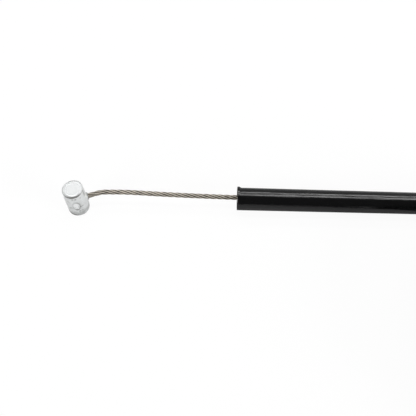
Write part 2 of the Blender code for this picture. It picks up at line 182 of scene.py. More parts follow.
def pick_faces(piece: bpy.types.Object, wanted: Callable[[bmesh.types.BMFace], bool]) -> None:
    """Select, in edit mode, only the faces that pass a test.

    Args:
        piece: The object in edit mode.
        wanted: Test of one face, by its place or normal.
    """
    bpy.ops.mesh.select_all(action="DESELECT")
    shape = bmesh.from_edit_mesh(piece.data)
    for face in shape.faces:
        face.select_set(wanted(face))
    bmesh.update_edit_mesh(piece.data)


def finish_mesh(piece: bpy.types.Object, angle: float) -> None:
    """Bake an object's place into its mesh, and shade it smooth up to an angle.

    Args:
        piece: The finished piece.
        angle: Edges sharper than this many degrees stay sharp.
    """
    only(piece)
    bpy.ops.object.transform_apply(location=True, rotation=True, scale=True)
    bpy.ops.object.shade_smooth_by_angle(angle=math.radians(angle))


def use_modifier(piece: bpy.types.Object, kind: str, **values: object) -> None:
    """Add a modifier with its values, and apply it.

    Args:
        piece: The object that gets the modifier.
        kind: The modifier's type, such as BEVEL.
        values: Its properties.
    """
    only(piece)
    step = piece.modifiers.new(kind.lower(), kind)
    for key, value in values.items():
        setattr(step, key, value)
    bpy.ops.object.modifier_apply(modifier=step.name)


def round_edges(piece: bpy.types.Object, width: float, segments: int, angle: float = 30.0) -> None:
    """Bevel the edges that are sharper than an angle in degrees."""
    use_modifier(piece, "BEVEL", width=width, segments=segments, limit_method="ANGLE",
                 angle_limit=math.radians(angle))


def join_solid(piece: bpy.types.Object, tool: bpy.types.Object, operation: str) -> None:
    """Combine a piece with a tool by an exact Boolean, and remove the tool.

    Args:
        piece: The piece that is kept.
        tool: The other solid.
        operation: UNION, DIFFERENCE or INTERSECT.
    """
    use_modifier(piece, "BOOLEAN", operation=operation, solver="EXACT", object=tool)
    bpy.data.objects.remove(tool, do_unlink=True)


def lathe(name: str, profile: Sequence[tuple[float, float]], steps: int, axis: Vector, origin: Vector,
          closed: bool = True) -> bpy.types.Object:
    """Spin a profile about an axis in edit mode.

    Args:
        name: The new object's name.
        profile: Points as (radius, distance along the axis).
        steps: Facets of a full turn.
        axis: Unit direction of the axis.
        origin: Where the axis starts.
        closed: Whether the profile's last point joins its first.

    Returns:
        The turned piece, its normals outwards.
    """
    side = axis.orthogonal().normalized()
    points = [origin + side * radius + axis * along for radius, along in profile]
    edges = [(k, k + 1) for k in range(len(points) - 1)]
    if closed:
        edges.append((len(points) - 1, 0))
    piece = meshed(name, points, edges, [])
    only(piece)
    bpy.ops.object.mode_set(mode="EDIT")
    bpy.ops.mesh.select_all(action="SELECT")
    bpy.ops.mesh.spin(steps=steps, angle=math.tau, center=origin, axis=axis)
    bpy.ops.mesh.select_all(action="SELECT")
    bpy.ops.mesh.remove_doubles(threshold=0.001 * MM)
    face_outwards(piece)
    return piece


def swept(name: str, tubes: Iterable[tuple[np.ndarray, np.ndarray]]) -> bpy.types.Object:
    """Build closed tubes from their rings, with a UV map of share around and millimetres along.

    Args:
        name: The new object's name.
        tubes: For each tube, its rings (stations, sides, 3) and each station's distance in metres.

    Returns:
        One object that holds every tube.
    """
    points, faces, maps = [], [], []
    first = 0
    for rings, distances in tubes:
        stations, sides = rings.shape[:2]
        points.append(rings.reshape(-1, 3))
        row, column = np.meshgrid(np.arange(stations - 1), np.arange(sides), indexing="ij")
        across = (column + 1) % sides
        quads = np.stack([row * sides + column, row * sides + across, (row + 1) * sides + across,
                          (row + 1) * sides + column], axis=-1)
        faces += (quads.reshape(-1, 4) + first).tolist()
        around = np.stack([column, column + 1, column + 1, column], axis=-1) / sides
        along = distances[np.stack([row, row, row + 1, row + 1], axis=-1)] / MM
        maps.append(np.stack([around, along], axis=-1).reshape(-1, 2))
        ring, share = first + np.arange(sides), np.arange(sides) / sides
        for station, order in ((0, -1), (stations - 1, 1)):
            faces.append((ring + station * sides)[::order].tolist())
            maps.append(np.stack([share[::order], np.full(sides, distances[station] / MM)], axis=-1))
        first += stations * sides
    piece = meshed(name, np.concatenate(points).tolist(), [], faces)
    layer = piece.data.uv_layers.new(name="along")
    layer.data.foreach_set("uv", np.concatenate(maps).astype(np.float32).ravel())
    face_outwards(piece)
    return piece


def mark_recess_and_shade(piece: bpy.types.Object, values: np.ndarray) -> None:
    """Store each point's grime and painted shade, from 0 to 1, for the finishes: its depth, its soil, and shade
    painted on it as darker colour.

    Args:
        piece: The piece.
        values: One value a point.
    """
    layer = piece.data.attributes.new("recess_and_shade", "FLOAT", "POINT")
    layer.data.foreach_set("value", np.clip(values, 0.0, 1.0).astype(np.float32))


def points_of(piece: bpy.types.Object) -> np.ndarray:
    """Return a mesh's points as an array (count, 3)."""
    places = np.empty(len(piece.data.vertices) * 3)
    piece.data.vertices.foreach_get("co", places)
    return places.reshape(-1, 3)


def put_points(piece: bpy.types.Object, places: np.ndarray) -> None:
    """Move a mesh's points to new places."""
    piece.data.vertices.foreach_set("co", places.ravel())
    piece.data.update()


def smooth_step(low: float, high: float, value: np.ndarray | float) -> np.ndarray:
    """Return 0 below low, 1 above high and a smooth rise between, element by element."""
    share = np.clip((np.asarray(value, float) - low) / (high - low), 0.0, 1.0)
    return share * share * (3.0 - 2.0 * share)


def bell(value: np.ndarray, width: float) -> np.ndarray:
    """Return a smooth bump that is 1 where the value is 0."""
    return np.exp(-(value / width) ** 2)


def wrapped(angle: np.ndarray) -> np.ndarray:
    """Return angles brought to within half a turn of 0."""
    return (angle + math.pi) % math.tau - math.pi


def run_of(places: np.ndarray) -> np.ndarray:
    """Return the distance along a path at each of its points."""
    return np.concatenate([[0.0], np.cumsum(np.linalg.norm(np.diff(places, axis=0), axis=1))])


def along_path(wanted: np.ndarray, run: np.ndarray, values: np.ndarray) -> np.ndarray:
    """Return vectors read from a path's values (count, 3) at wanted distances."""
    return np.stack([np.interp(wanted, run, values[:, k]) for k in range(3)], axis=-1)


def catmull_rom(knots: Sequence[Vector], spacing: float, samples: int = 40) -> np.ndarray:
    """Return evenly spaced points of a smooth curve through knots.

    Args:
        knots: The points that the curve runs through.
        spacing: The wanted distance between points.
        samples: Steps that the curve is first drawn with, between two knots.

    Returns:
        An array (count, 3).
    """
    ends = [knots[0] * 2 - knots[1], *knots, knots[-1] * 2 - knots[-2]]
    dense = []
    for a, b, c, d in zip(ends, ends[1:], ends[2:], ends[3:]):
        for k in range(samples):
            t = k / samples
            dense.append(0.5 * (2 * b + (c - a) * t + (2 * a - 5 * b + 4 * c - d) * t * t
                                + (3 * b - a - 3 * c + d) * t ** 3))
    dense.append(knots[-1])
    places = np.array(dense)
    run = run_of(places)
    count = max(2, round(run[-1] / spacing) + 1)
    return along_path(np.linspace(0.0, run[-1], count), run, places)


def path_frames(places: np.ndarray) -> tuple[np.ndarray, np.ndarray, np.ndarray]:
    """Return the across and upward directions and the distance along a path that never stands upright.

    Args:
        places: The path's points, an array (count, 3).

    Returns:
        The two directions, arrays (count, 3), and the distances, an array (count,).
    """
    ahead = np.gradient(places, axis=0)
    ahead /= np.linalg.norm(ahead, axis=1, keepdims=True)
    across = np.cross(ahead, [0.0, 0.0, 1.0])
    across /= np.linalg.norm(across, axis=1, keepdims=True)
    return across, np.cross(across, ahead), run_of(places)


# Shader nodes

class Board:
    """A node tree, with short calls that add nodes to it."""

    def __init__(self, tree: bpy.types.NodeTree) -> None:
        """Take the tree."""
        self.tree = tree

    def feed(self, node: bpy.types.Node, sockets: dict[str | int, object]) -> None:
        """Link each input to an output, or set it to a value.

        Args:
            node: The node.
            sockets: An output or a value for each input.
        """
        for key, value in sockets.items():
            if isinstance(value, bpy.types.NodeSocket):
                self.tree.links.new(value, node.inputs[key])
            else:
                node.inputs[key].default_value = value

    def add(self, kind: str, sockets: dict[str | int, object] | None = None,
            **settings: object) -> bpy.types.bpy_prop_collection:
        """Add a node.

        Args:
            kind: Its type, without ShaderNode before it.
            sockets: An output or a value for each input that isn't left as it is.
            settings: The node's own properties.

        Returns:
            The node's outputs.
        """
        node = self.tree.nodes.new(f"ShaderNode{kind}")
        for key, value in settings.items():
            setattr(node, key, value)
        self.feed(node, sockets or {})
        return node.outputs

    def math(self, operation: str, *values: object, clamp: bool = False) -> bpy.types.NodeSocket:
        """Return the output of a new maths node on values or outputs."""
        return self.add("Math", dict(enumerate(values)), operation=operation, use_clamp=clamp)[0]

    def mix(self, share: object, low: object, high: object) -> bpy.types.NodeSocket:
        """Return the output of a new mix of two colours."""
        return self.add("Mix", {"Factor": share, 6: low, 7: high}, data_type="RGBA")[2]


class Groups:
    """Builds each node group that several finishes share once."""

    def __init__(self) -> None:
        """Build the groups."""
        self.mottle = self._mottle()
        self.grime_and_shade = self._grime_and_shade()
        self.marks = self._marks()

    @staticmethod
    def _new(name: str, inputs: dict[str, object],
             outputs: Sequence[str]) -> tuple[Board, bpy.types.bpy_prop_collection, bpy.types.Node]:
        """Start a group with named sockets.

        Args:
            name: The group's name.
            inputs: Default value by name: a number, a colour, or None for a vector.
            outputs: Names of the outputs. One named Colour is a colour, the others are values.

        Returns:
            The group's board, its inputs as outputs to link from, and its output node.
        """
        tree = bpy.data.node_groups.new(name, "ShaderNodeTree")
        for label, value in inputs.items():
            kind = {float: "Float", tuple: "Color"}.get(type(value), "Vector")
            socket = tree.interface.new_socket(label, in_out="INPUT", socket_type=f"NodeSocket{kind}")
            if value is not None:
                socket.default_value = value
        for label in outputs:
            kind = "Color" if label == "Colour" else "Float"
            tree.interface.new_socket(label, in_out="OUTPUT", socket_type=f"NodeSocket{kind}")
        return Board(tree), tree.nodes.new("NodeGroupInput").outputs, tree.nodes.new("NodeGroupOutput")

    def _mottle(self) -> bpy.types.NodeTree:
        """Build broad blotches and fine grain on a vector."""
        inputs = {"Vector": None, "Broad Scale": 300.0, "Fine Scale": 2500.0, "Contrast": 1.0}
        board, source, target = self._new("surface_mottle", inputs, ("Blotches", "Grain"))
        for label, scale, detail in (("Blotches", "Broad Scale", 3.0), ("Grain", "Fine Scale", 4.0)):
            cloud = board.add("TexNoise", {"Vector": source["Vector"], "Scale": source[scale], "Detail": detail,
                                           "Roughness": 0.6})
            middle = board.math("SUBTRACT", cloud["Fac"], 0.5)
            spread = board.math("MULTIPLY_ADD", middle, source["Contrast"], 0.5, clamp=True)
            board.feed(target, {label: spread})
        return board.tree

    def _grime_and_shade(self) -> bpy.types.NodeTree:
        """Build a colour that darkens where a piece's recess-and-shade attribute is high: grime, and painted
        shade.
        """
        inputs = {"Clean Colour": (0.8, 0.8, 0.8, 1.0), "Grime And Shade Colour": (0.05, 0.05, 0.05, 1.0), "Recess And Shade": 0.0,
                  "Blotches": 0.5, "Amount": 0.8}
        board, source, target = self._new("grime_and_painted_shade", inputs, ("Colour", "Mask"))
        patchy = board.add("MapRange", {"Value": source["Blotches"], "To Min": 0.75, "To Max": 1.25})
        soiled_and_shaded = board.math("MULTIPLY", source["Recess And Shade"], patchy["Result"])
        share = board.math("MULTIPLY", soiled_and_shaded, source["Amount"], clamp=True)
        colour = board.mix(share, source["Clean Colour"], source["Grime And Shade Colour"])
        board.feed(target, {"Colour": colour, "Mask": share})
        return board.tree

    def _marks(self) -> bpy.types.NodeTree:
        """Build long extrusion marks and short cross ripples on a cord's own map."""
        inputs = {"Map": None, "Around": 24.0, "Along": 0.15, "Ripple": 0.8}
        board, source, target = self._new("lengthwise_marks", inputs, ("Streaks", "Ripples"))
        parts = board.add("SeparateXYZ", {0: source["Map"]})
        turn = board.math("MULTIPLY", parts["X"], math.tau)
        for label, width, length in (("Streaks", source["Around"], source["Along"]),
                                     ("Ripples", 1.5, source["Ripple"])):
            place = [board.math("MULTIPLY", board.math(wave, turn), width) for wave in ("COSINE", "SINE")]
            place.append(board.math("MULTIPLY", parts["Y"], length))
            vector = board.add("CombineXYZ", dict(enumerate(place)))[0]
            cloud = board.add("TexNoise", {"Vector": vector, "Scale": 1.0, "Detail": 3.0})
            board.feed(target, {label: cloud["Fac"]})
        return board.tree


GROUPS = Groups()


@dataclass(frozen=True)
class Finish:
    """A procedural finish: a colour that varies, grime and painted shade where a piece marks them, rough
    patches and fine relief.
    """

    name: str
    colour: tuple[float, float, float]
    shade: tuple[float, float, float]
    grime_and_shade: tuple[float, float, float]
    grime_and_shade_amount: float
    metallic: float
    roughness: tuple[float, float]
    broad_scale: float
    fine_scale: float
    contrast: float
    relief: float
    relief_distance: float
    marks: tuple[float, float, float] | None = None
    ripple_share: float = 0.0
    specular: float = 0.5
    soiled_roughness: float = 0.85
    grain_share: float = 0.25

    def build(self) -> bpy.types.Material:
        """Return the finish as a node material."""
        made = bpy.data.materials.new(self.name)
        made.use_nodes = True
        board = Board(made.node_tree)
        mottle = board.add("Group", {"Vector": board.add("TexCoord")["Object"], "Broad Scale": self.broad_scale,
                                     "Fine Scale": self.fine_scale, "Contrast": self.contrast},
                           node_tree=GROUPS.mottle)
        varied = board.mix(mottle["Blotches"], (*self.colour, 1.0), (*self.shade, 1.0))
        # This attribute holds grime and painted shade: darker colour that stands in for shade on the wire and
        # the barrel.
        depth = board.add("Attribute", attribute_name="recess_and_shade")["Fac"]
        grime_and_shade = board.add("Group", {"Clean Colour": varied, "Grime And Shade Colour": (*self.grime_and_shade, 1.0), "Recess And Shade": depth,
                                    "Blotches": mottle["Blotches"], "Amount": self.grime_and_shade_amount},
                          node_tree=GROUPS.grime_and_shade)
        rough = board.add("MapRange", {"Value": mottle["Blotches"], "To Min": self.roughness[0],
                                       "To Max": self.roughness[1]})
        soiled_and_shaded = board.add("Mix", {"Factor": grime_and_shade["Mask"], "A": rough["Result"], "B": self.soiled_roughness})
        height = self._with_marks(board, mottle["Grain"]) if self.marks else mottle["Grain"]
        relief = board.add("Bump", {"Strength": self.relief, "Distance": self.relief_distance,
                                    "Height": height})
        board.feed(made.node_tree.nodes["Principled BSDF"], {
            "Base Color": grime_and_shade["Colour"], "Metallic": self.metallic, "Roughness": soiled_and_shaded["Result"],
            "Specular IOR Level": self.specular, "Normal": relief["Normal"]})
        return made

    def _with_marks(self, board: Board, grain: bpy.types.NodeSocket) -> bpy.types.NodeSocket:
        """Add lengthwise marks and ripples to a height.

        Args:
            board: The material's nodes.
            grain: The fine grain's height.

        Returns:
            The combined height.
        """
        around, along, ripple = self.marks
        marks = board.add("Group", {"Map": board.add("UVMap", uv_map="along")["UV"], "Around": around,
                                    "Along": along, "Ripple": ripple}, node_tree=GROUPS.marks)
        height = board.math("MULTIPLY_ADD", marks["Ripples"], self.ripple_share, marks["Streaks"])
        return board.math("MULTIPLY_ADD", grain, self.grain_share, height)


ZINC = Finish("cast_zinc", (0.745, 0.75, 0.76), (0.705, 0.73, 0.725), (0.13, 0.13, 0.125), 1.0, 0.38,
              (0.25, 0.28), 420.0, 2600.0, 1.8, 0.05, 0.08 * MM)
# The wire's grime colour also paints the shade in the gaps between strands and under the wire.
WIRE = Finish("strand_steel", (0.82, 0.745, 0.64), (0.55, 0.515, 0.445), (0.022, 0.018, 0.014), 1.0, 0.85,
              (0.34, 0.46), 600.0, 5000.0, 1.6, 0.15, 0.02 * MM)
VINYL = Finish("black_vinyl", (0.0018, 0.0018, 0.0020), (0.0034, 0.0034, 0.0036), (0.004, 0.004, 0.004), 0.95,
               0.0, (0.07, 0.15), 200.0, 4200.0, 1.5, 0.22, 0.10 * MM, (26.0, 0.10, 1.3), 0.45, 0.80)
SPRING = Finish("winding_spring_steel", (0.42, 0.42, 0.43), (0.30, 0.30, 0.31), (0.05, 0.045, 0.04), 0.8, 1.0,
                (0.30, 0.45), 500.0, 3000.0, 1.4, 0.2, 0.02 * MM)
LINER = Finish("liner_plastic", (0.86, 0.85, 0.79), (0.80, 0.78, 0.71), (0.30, 0.27, 0.22), 0.6, 0.0,
               (0.42, 0.52), 400.0, 2500.0, 1.2, 0.15, 0.02 * MM)
PLATED = Finish("zinc_plated_steel", (0.72, 0.725, 0.71), (0.62, 0.63, 0.63), (0.14, 0.13, 0.11), 0.85, 1.0,
                (0.22, 0.36), 260.0, 2400.0, 1.5, 0.15, 0.03 * MM)
TIE = Finish("moulded_tie_nylon", (0.014, 0.014, 0.015), (0.022, 0.022, 0.023), (0.006, 0.006, 0.006), 0.5, 0.0,
             (0.38, 0.50), 300.0, 2200.0, 1.4, 0.25, 0.03 * MM)


def seat(piece: bpy.types.Object, finish: bpy.types.Material, slot: Slot, body: Body,
         *nodes: str) -> bpy.types.Object:
    """Dress a finished piece, fix it to its body, and let it stand for its solids.

    Args:
        piece: The piece.
        finish: Its material.
        slot: The record's slot of that finish; not used.
        body: The body that it rides on.
        nodes: The solids that it stands for.

    Returns:
        The piece.
    """
    piece.data.materials.clear()
    piece.data.materials.append(finish)
    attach(piece, body.value)
    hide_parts(*nodes)
    LOG.info("%s: %d points, rides on %s", piece.name, len(piece.data.vertices), body.value)
    return piece


@dataclass
class Studio:
    """White floor, a dim sky, two soft strips above and behind, two soft boxes at the sides, and the camera."""

    focal_pixels: float = 400.0
    frame_pixels: float = 416.0
    sensor: float = 36.0
    clip: tuple[float, float] = (0.004, 100.0)
    place: Vector = Vector((27.453, -61.819, 110.385)) * MM
    heading: float = math.radians(11.182)
    fall: float = math.radians(60.02)
    roll: float = math.radians(11.024)
    floor_size: float = 12.0
    floor_colour: float = 0.90
    seen_glow: float = 0.93
    mirrored_dimming: float = 0.60
    sky_side: tuple[float, float] = (-0.30, 0.55)
    sky_level: tuple[float, float] = (0.04, 0.26)
    strips: tuple[tuple[str, float, float], ...] = (("strip_near", 0.17, 0.35), ("strip_far", 0.73, 0.97))
    strip_middle: float = 0.35
    strip_height: float = 1.0
    strip_length: float = 2.6
    strip_radiance: float = 4.2
    boxes: tuple[tuple[str, Vector, float], ...] = (("box_left", Vector((-1.20, -0.90, 0.50)), 10.3),
                                                    ("box_right", Vector((1.75, -0.75, 0.42)), 18.54))
    box_size: float = 0.9

    def build(self) -> None:
        """Make the camera first, then the light and the floor."""
        self._camera()
        self._world()
        for name, near, far in self.strips:
            place = Vector((self.strip_middle, (near + far) / 2, self.strip_height))
            self._lamp(name, place, (self.strip_length, far - near), self.strip_radiance)
        for name, place, radiance in self.boxes:
            lamp = self._lamp(name, place, (self.box_size, self.box_size), radiance)
            lamp.rotation_euler = (-place).to_track_quat("-Z", "Y").to_euler()
        self._floor()

    def _camera(self) -> None:
        """Place the camera as it stood for the photograph."""
        data = bpy.data.cameras.new("camera")
        data.sensor_width = self.sensor
        data.lens = self.focal_pixels / self.frame_pixels * self.sensor
        data.clip_start, data.clip_end = self.clip
        camera = bpy.data.objects.new("camera", data)
        bpy.context.scene.collection.objects.link(camera)
        ahead = Vector((math.sin(self.heading) * math.cos(self.fall),
                        math.cos(self.heading) * math.cos(self.fall), -math.sin(self.fall)))
        level = Vector((math.cos(self.heading), -math.sin(self.heading), 0.0))
        rise = level.cross(ahead)
        right = level * math.cos(self.roll) + rise * math.sin(self.roll)
        up = rise * math.cos(self.roll) - level * math.sin(self.roll)
        turn = Matrix((right, up, -ahead)).transposed()
        camera.matrix_world = Matrix.Translation(self.place) @ turn.to_4x4()
        bpy.context.scene.camera = camera

    def _world(self) -> None:
        """Light from all round: fair at the back, dim on the camera's side, white where it is seen."""
        world = bpy.data.worlds.new("studio")
        bpy.context.scene.world = world
        world.use_nodes = True
        board = Board(world.node_tree)
        parts = board.add("SeparateXYZ", {0: board.add("TexCoord")["Generated"]})
        level = board.add("MapRange", {"Value": parts["Y"], "From Min": self.sky_side[0],
                                       "From Max": self.sky_side[1], "To Min": self.sky_level[0],
                                       "To Max": self.sky_level[1]}, interpolation_type="SMOOTHSTEP")
        sky = world.node_tree.nodes["Background"]
        board.feed(sky, {"Color": WHITE, "Strength": level["Result"]})
        seen = board.add("Background", {"Color": WHITE, "Strength": 1.0})
        mix = board.add("MixShader", {"Fac": board.add("LightPath")["Is Camera Ray"], 1: sky.outputs[0],
                                      2: seen[0]})
        board.feed(world.node_tree.nodes["World Output"], {"Surface": mix[0]})
        bpy.context.scene.view_settings.view_transform = "Standard"

    @staticmethod
    def _lamp(name: str, place: Vector, size: tuple[float, float], radiance: float) -> bpy.types.Object:
        """Hang one soft lamp that faces straight down.

        Args:
            name: The lamp's name.
            place: The middle of its face.
            size: Its face along X and Y.
            radiance: How bright its face is.

        Returns:
            The lamp.
        """
        data = bpy.data.lights.new(name, "AREA")
        data.shape = "RECTANGLE"
        data.size, data.size_y = size
        data.energy = radiance * math.pi * size[0] * size[1]
        lamp = bpy.data.objects.new(name, data)
        lamp.location = place
        bpy.context.scene.collection.objects.link(lamp)
        return lamp

    def _floor(self) -> None:
        """Lay the white floor: it keeps a faint shadow of the cable, and is dimmer where it is mirrored."""
        floor = primitive("floor", bpy.ops.mesh.primitive_plane_add, size=self.floor_size,
                          location=(0.0, 0.0, 0.0))
        made = bpy.data.materials.new("white_floor")
        made.use_nodes = True
        board = Board(made.node_tree)
        paint = made.node_tree.nodes["Principled BSDF"]
        board.feed(paint, {"Base Color": (*(self.floor_colour,) * 3, 1.0), "Roughness": 0.9,
                           "Specular IOR Level": 0.0})
        path = board.add("LightPath")
        share = 0.0
        for label, level in (("Is Transmission Ray", self.mirrored_dimming),
                             ("Is Glossy Ray", self.mirrored_dimming), ("Is Camera Ray", self.seen_glow)):
            share = board.math("MULTIPLY_ADD", path[label], level, share, clamp=True)
        glow = board.add("Emission", {"Strength": path["Is Camera Ray"]})
        mix = board.add("MixShader", {"Fac": share, 1: paint.outputs[0], 2: glow[0]})
        board.feed(made.node_tree.nodes["Material Output"], {"Surface": mix[0]})
        floor.data.materials.append(made)


@dataclass
class Route:
    """Centre line of the conduit: straight, three and a half turns of coil, and down to the adjuster's cup.

    Angles are in degrees. A fall is (millimetres towards -X, height in millimetres).
    """

    turns_swept: float = 1260.0
    straight_step: float = 5.0 * MM
    turn_step: float = 5.625
    inwards: tuple[float, float] = (300.0, 355.0)
    climb: tuple[float, float] = (595.0, 650.0)
    outwards: tuple[float, float] = (905.0, 960.0)
    tie_angles: tuple[float, float] = (18.0, 198.0)
    tie_lift: float = 0.95 * MM
    lift_reach: tuple[float, float] = (3.5, 15.0)
    fall: tuple[tuple[float, float], ...] = (
        (12.0, 10.45), (18.4, 10.05), (24.8, 9.65), (31.7, 8.40), (39.6, 6.95), (48.7, 5.95), (56.7, 5.5),
        (61.0, 5.5), (70.7, 5.5))
    fall_step: float = 3.0 * MM

    def coil_point(self, swept_angle: float) -> Vector:
        """Return the centre line after a sweep, in degrees, clockwise from the coil's back."""
        step = LAYOUT.outer_turn - LAYOUT.inner_turn
        radius = LAYOUT.outer_turn - step * float(smooth_step(*self.inwards, swept_angle)
                                                  - smooth_step(*self.outwards, swept_angle))
        climbed = float(smooth_step(*self.climb, swept_angle))
        height = LAYOUT.low_turn + (LAYOUT.top_turn - LAYOUT.low_turn) * climbed
        height += self.tie_lift * self.rise(90.0 - swept_angle)
        angle = math.radians(90.0 - swept_angle)
        return LAYOUT.coil_centre + Vector((radius * math.cos(angle), radius * math.sin(angle), height))

    def rise(self, angle: float) -> float:
        """Return how far, from 0 to 1, the turns ride up over a tie at an angle in degrees."""
        away = min(abs((angle - tie + 180.0) % 360.0 - 180.0) for tie in self.tie_angles)
        return 1.0 - float(smooth_step(*self.lift_reach, away))

    def points(self) -> np.ndarray:
        """Return the whole centre line, an array (count, 3)."""
        start, coil = LAYOUT.mouth, LAYOUT.coil_centre
        count = round((coil.x - start.x) / self.straight_step)
        places = [start.lerp(Vector((coil.x, start.y, start.z)), k / count) for k in range(count)]
        turns = round(self.turns_swept / self.turn_step)
        places += [self.coil_point(self.turns_swept * k / turns) for k in range(turns + 1)]
        line = coil.y - LAYOUT.outer_turn
        knots = [Vector((coil.x, line, LAYOUT.top_turn))]
        knots += [Vector((coil.x - along * MM, line, height * MM)) for along, height in self.fall]
        return np.concatenate([np.array(places), catmull_rom(knots, self.fall_step)[1:]])


@dataclass
class Conduit:
    """Vinyl jacket, spiral winding and liner of the conduit."""

    route: Route
    sides: int = 64
    skin: float = 3.57 * MM
    mouth_edge: float = 0.16 * MM
    lip_length: float = 1.05 * MM
    lip_rise: float = 0.34 * MM
    lip_direction: float = math.radians(38)
    cut_lean: float = math.radians(8.5)
    cut_direction: float = math.radians(59)
    cut_fade: float = 6.0 * MM
    wave: float = 0.012 * MM
    flat_width: float = 0.96 * MM
    flat_pitch: float = 1.05 * MM
    flat_steps: int = 28
    flat_round: float = 0.12 * MM
    liner_round: float = 0.08 * MM

    def build(self) -> tuple[bpy.types.Object, list[bpy.types.Object]]:
        """Build the three layers.

        Returns:
            The jacket, and the layers inside it.
        """
        span = (LAYOUT.mouth.x + LAYOUT.layer_recess, LAYOUT.near_stretch_end)
        return self._jacket(), [self._winding(*span), self._liner(*span)]

    def _profile(self, run: np.ndarray) -> tuple[np.ndarray, np.ndarray]:
        """Draw the jacket's wall from deep in its bore, out round the mouth's lip, and to the conduit's end.

        Args:
            run: Distances of the route's points.

        Returns:
            The radius and the distance at each station.
        """
        bore, skin, edge = LAYOUT.jacket_bore, self.skin, self.mouth_edge
        reach = LAYOUT.near_stretch_end - LAYOUT.mouth.x
        profile = [(bore, reach + 0.3 * MM), (bore, reach / 2), (bore, 2.0 * MM), (bore, edge),
                   (bore + edge / 3, edge / 3), (bore + edge, 0.0)]
        profile += [(bore + edge + (skin - bore - 2 * edge) * k / 3, 0.0) for k in (1, 2)]
        profile += [(skin - edge * (1 - math.sin(a)), edge * (1 - math.cos(a)))
                    for a in (0.0, math.pi / 6, math.pi / 3, math.pi / 2)]
        profile += [(skin, along) for along in np.arange(0.3, 2.95, 0.15) * MM]
        profile += [(skin, along) for along in np.arange(3.0, reach / MM, 0.75) * MM]
        profile += [(skin, along) for along in run if along > reach]
        radii, distances = np.array(profile).T
        return radii, distances

    def _jacket(self) -> bpy.types.Object:
        """Sweep the jacket's wall along the whole route."""
        route = self.route.points()
        across, upward, run = path_frames(route)
        radii, distances = self._profile(run)
        bore, skin, edge = LAYOUT.jacket_bore, self.skin, self.mouth_edge
        centre, side, top = (along_path(distances, run, values) for values in (route, across, upward))
        turn = math.tau * np.arange(self.sides) / self.sides
        lip = smooth_step(bore + edge / 2, skin, radii)
        lip *= 1.0 - smooth_step(0.55 * self.lip_length, 1.25 * self.lip_length, distances)
        facing = (0.5 + 0.5 * np.cos(turn - (math.pi - self.lip_direction))) ** 1.5
        waves = np.array([[noise.noise(Vector((2.0 * math.cos(a), 2.0 * math.sin(a), along / MM * 0.35)))
                           for a in turn] for along in distances])
        size = radii[:, None] + self.lip_rise * lip[:, None] * facing[None, :]
        size += self.wave * waves * (radii > bore)[:, None]
        out = (np.cos(turn)[None, :, None] * side[:, None, :] + np.sin(turn)[None, :, None] * top[:, None, :])
        rings = centre[:, None, :] + size[..., None] * out
        lean = math.tan(self.cut_lean) * np.cos(turn - self.cut_direction)
        rings[..., 0] -= size * lean * (1.0 - smooth_step(0.0, self.cut_fade, distances))[:, None]
        along = np.where(radii > bore + edge / 2, distances, -distances)
        piece = swept("conduit_jacket", [(rings, along)])
        soil_and_shade = 1.0 - smooth_step(skin - 0.8 * edge, skin - 0.2 * edge, radii)
        mark_recess_and_shade(piece, np.repeat(soil_and_shade, self.sides))
        finish_mesh(piece, 50.0)
        return seat(piece, VINYL.build(), Slot.VINYL, Body.CONDUIT, "near_conduit_jacket", "conduit_coil",
                    "conduit_tail")

    def _winding(self, start: float, end: float) -> bpy.types.Object:
        """Wind the flat spring wire between the liner and the jacket, from start to end."""
        turns = (end - start - self.flat_width) / self.flat_pitch
        turn = math.tau * np.arange(round(turns * self.flat_steps) + 1) / self.flat_steps
        middle = start + self.flat_width / 2 + self.flat_pitch * turn / math.tau
        low, high = LAYOUT.winding_bore, LAYOUT.winding_radius
        half, edge = self.flat_width / 2, self.flat_round
        section = [(low, half - edge), (low + edge, half), (high - edge, half), (high, half - edge),
                   (high, edge - half), (high - edge, -half), (low + edge, -half), (low, edge - half)]
        rings = np.stack([np.stack([middle + offset, LAYOUT.mouth.y + radius * np.cos(turn),
                                    LAYOUT.mouth.z + radius * np.sin(turn)], axis=-1)
                          for radius, offset in section], axis=1)
        piece = swept("conduit_winding", [(rings, turn * (low + high) / 2)])
        finish_mesh(piece, 40.0)
        return seat(piece, SPRING.build(), Slot.SPRING, Body.CONDUIT, "near_conduit_winding")

    def _liner(self, start: float, end: float) -> bpy.types.Object:
        """Turn the liner tube from start to end, its edges rounded."""
        inner, outer, edge = LAYOUT.liner_bore, LAYOUT.liner_radius, self.liner_round
        profile = [(inner, start + edge), (inner + edge, start), (outer - edge, start), (outer, start + edge),
                   (outer, end - edge), (outer - edge, end), (inner + edge, end), (inner, end - edge)]
        origin = Vector((0.0, LAYOUT.mouth.y, LAYOUT.mouth.z))
        piece = lathe("conduit_liner", profile, 64, Vector((1, 0, 0)), origin)
        finish_mesh(piece, 40.0)
        return seat(piece, LINER.build(), Slot.LINER, Body.CONDUIT, "near_conduit_liner")


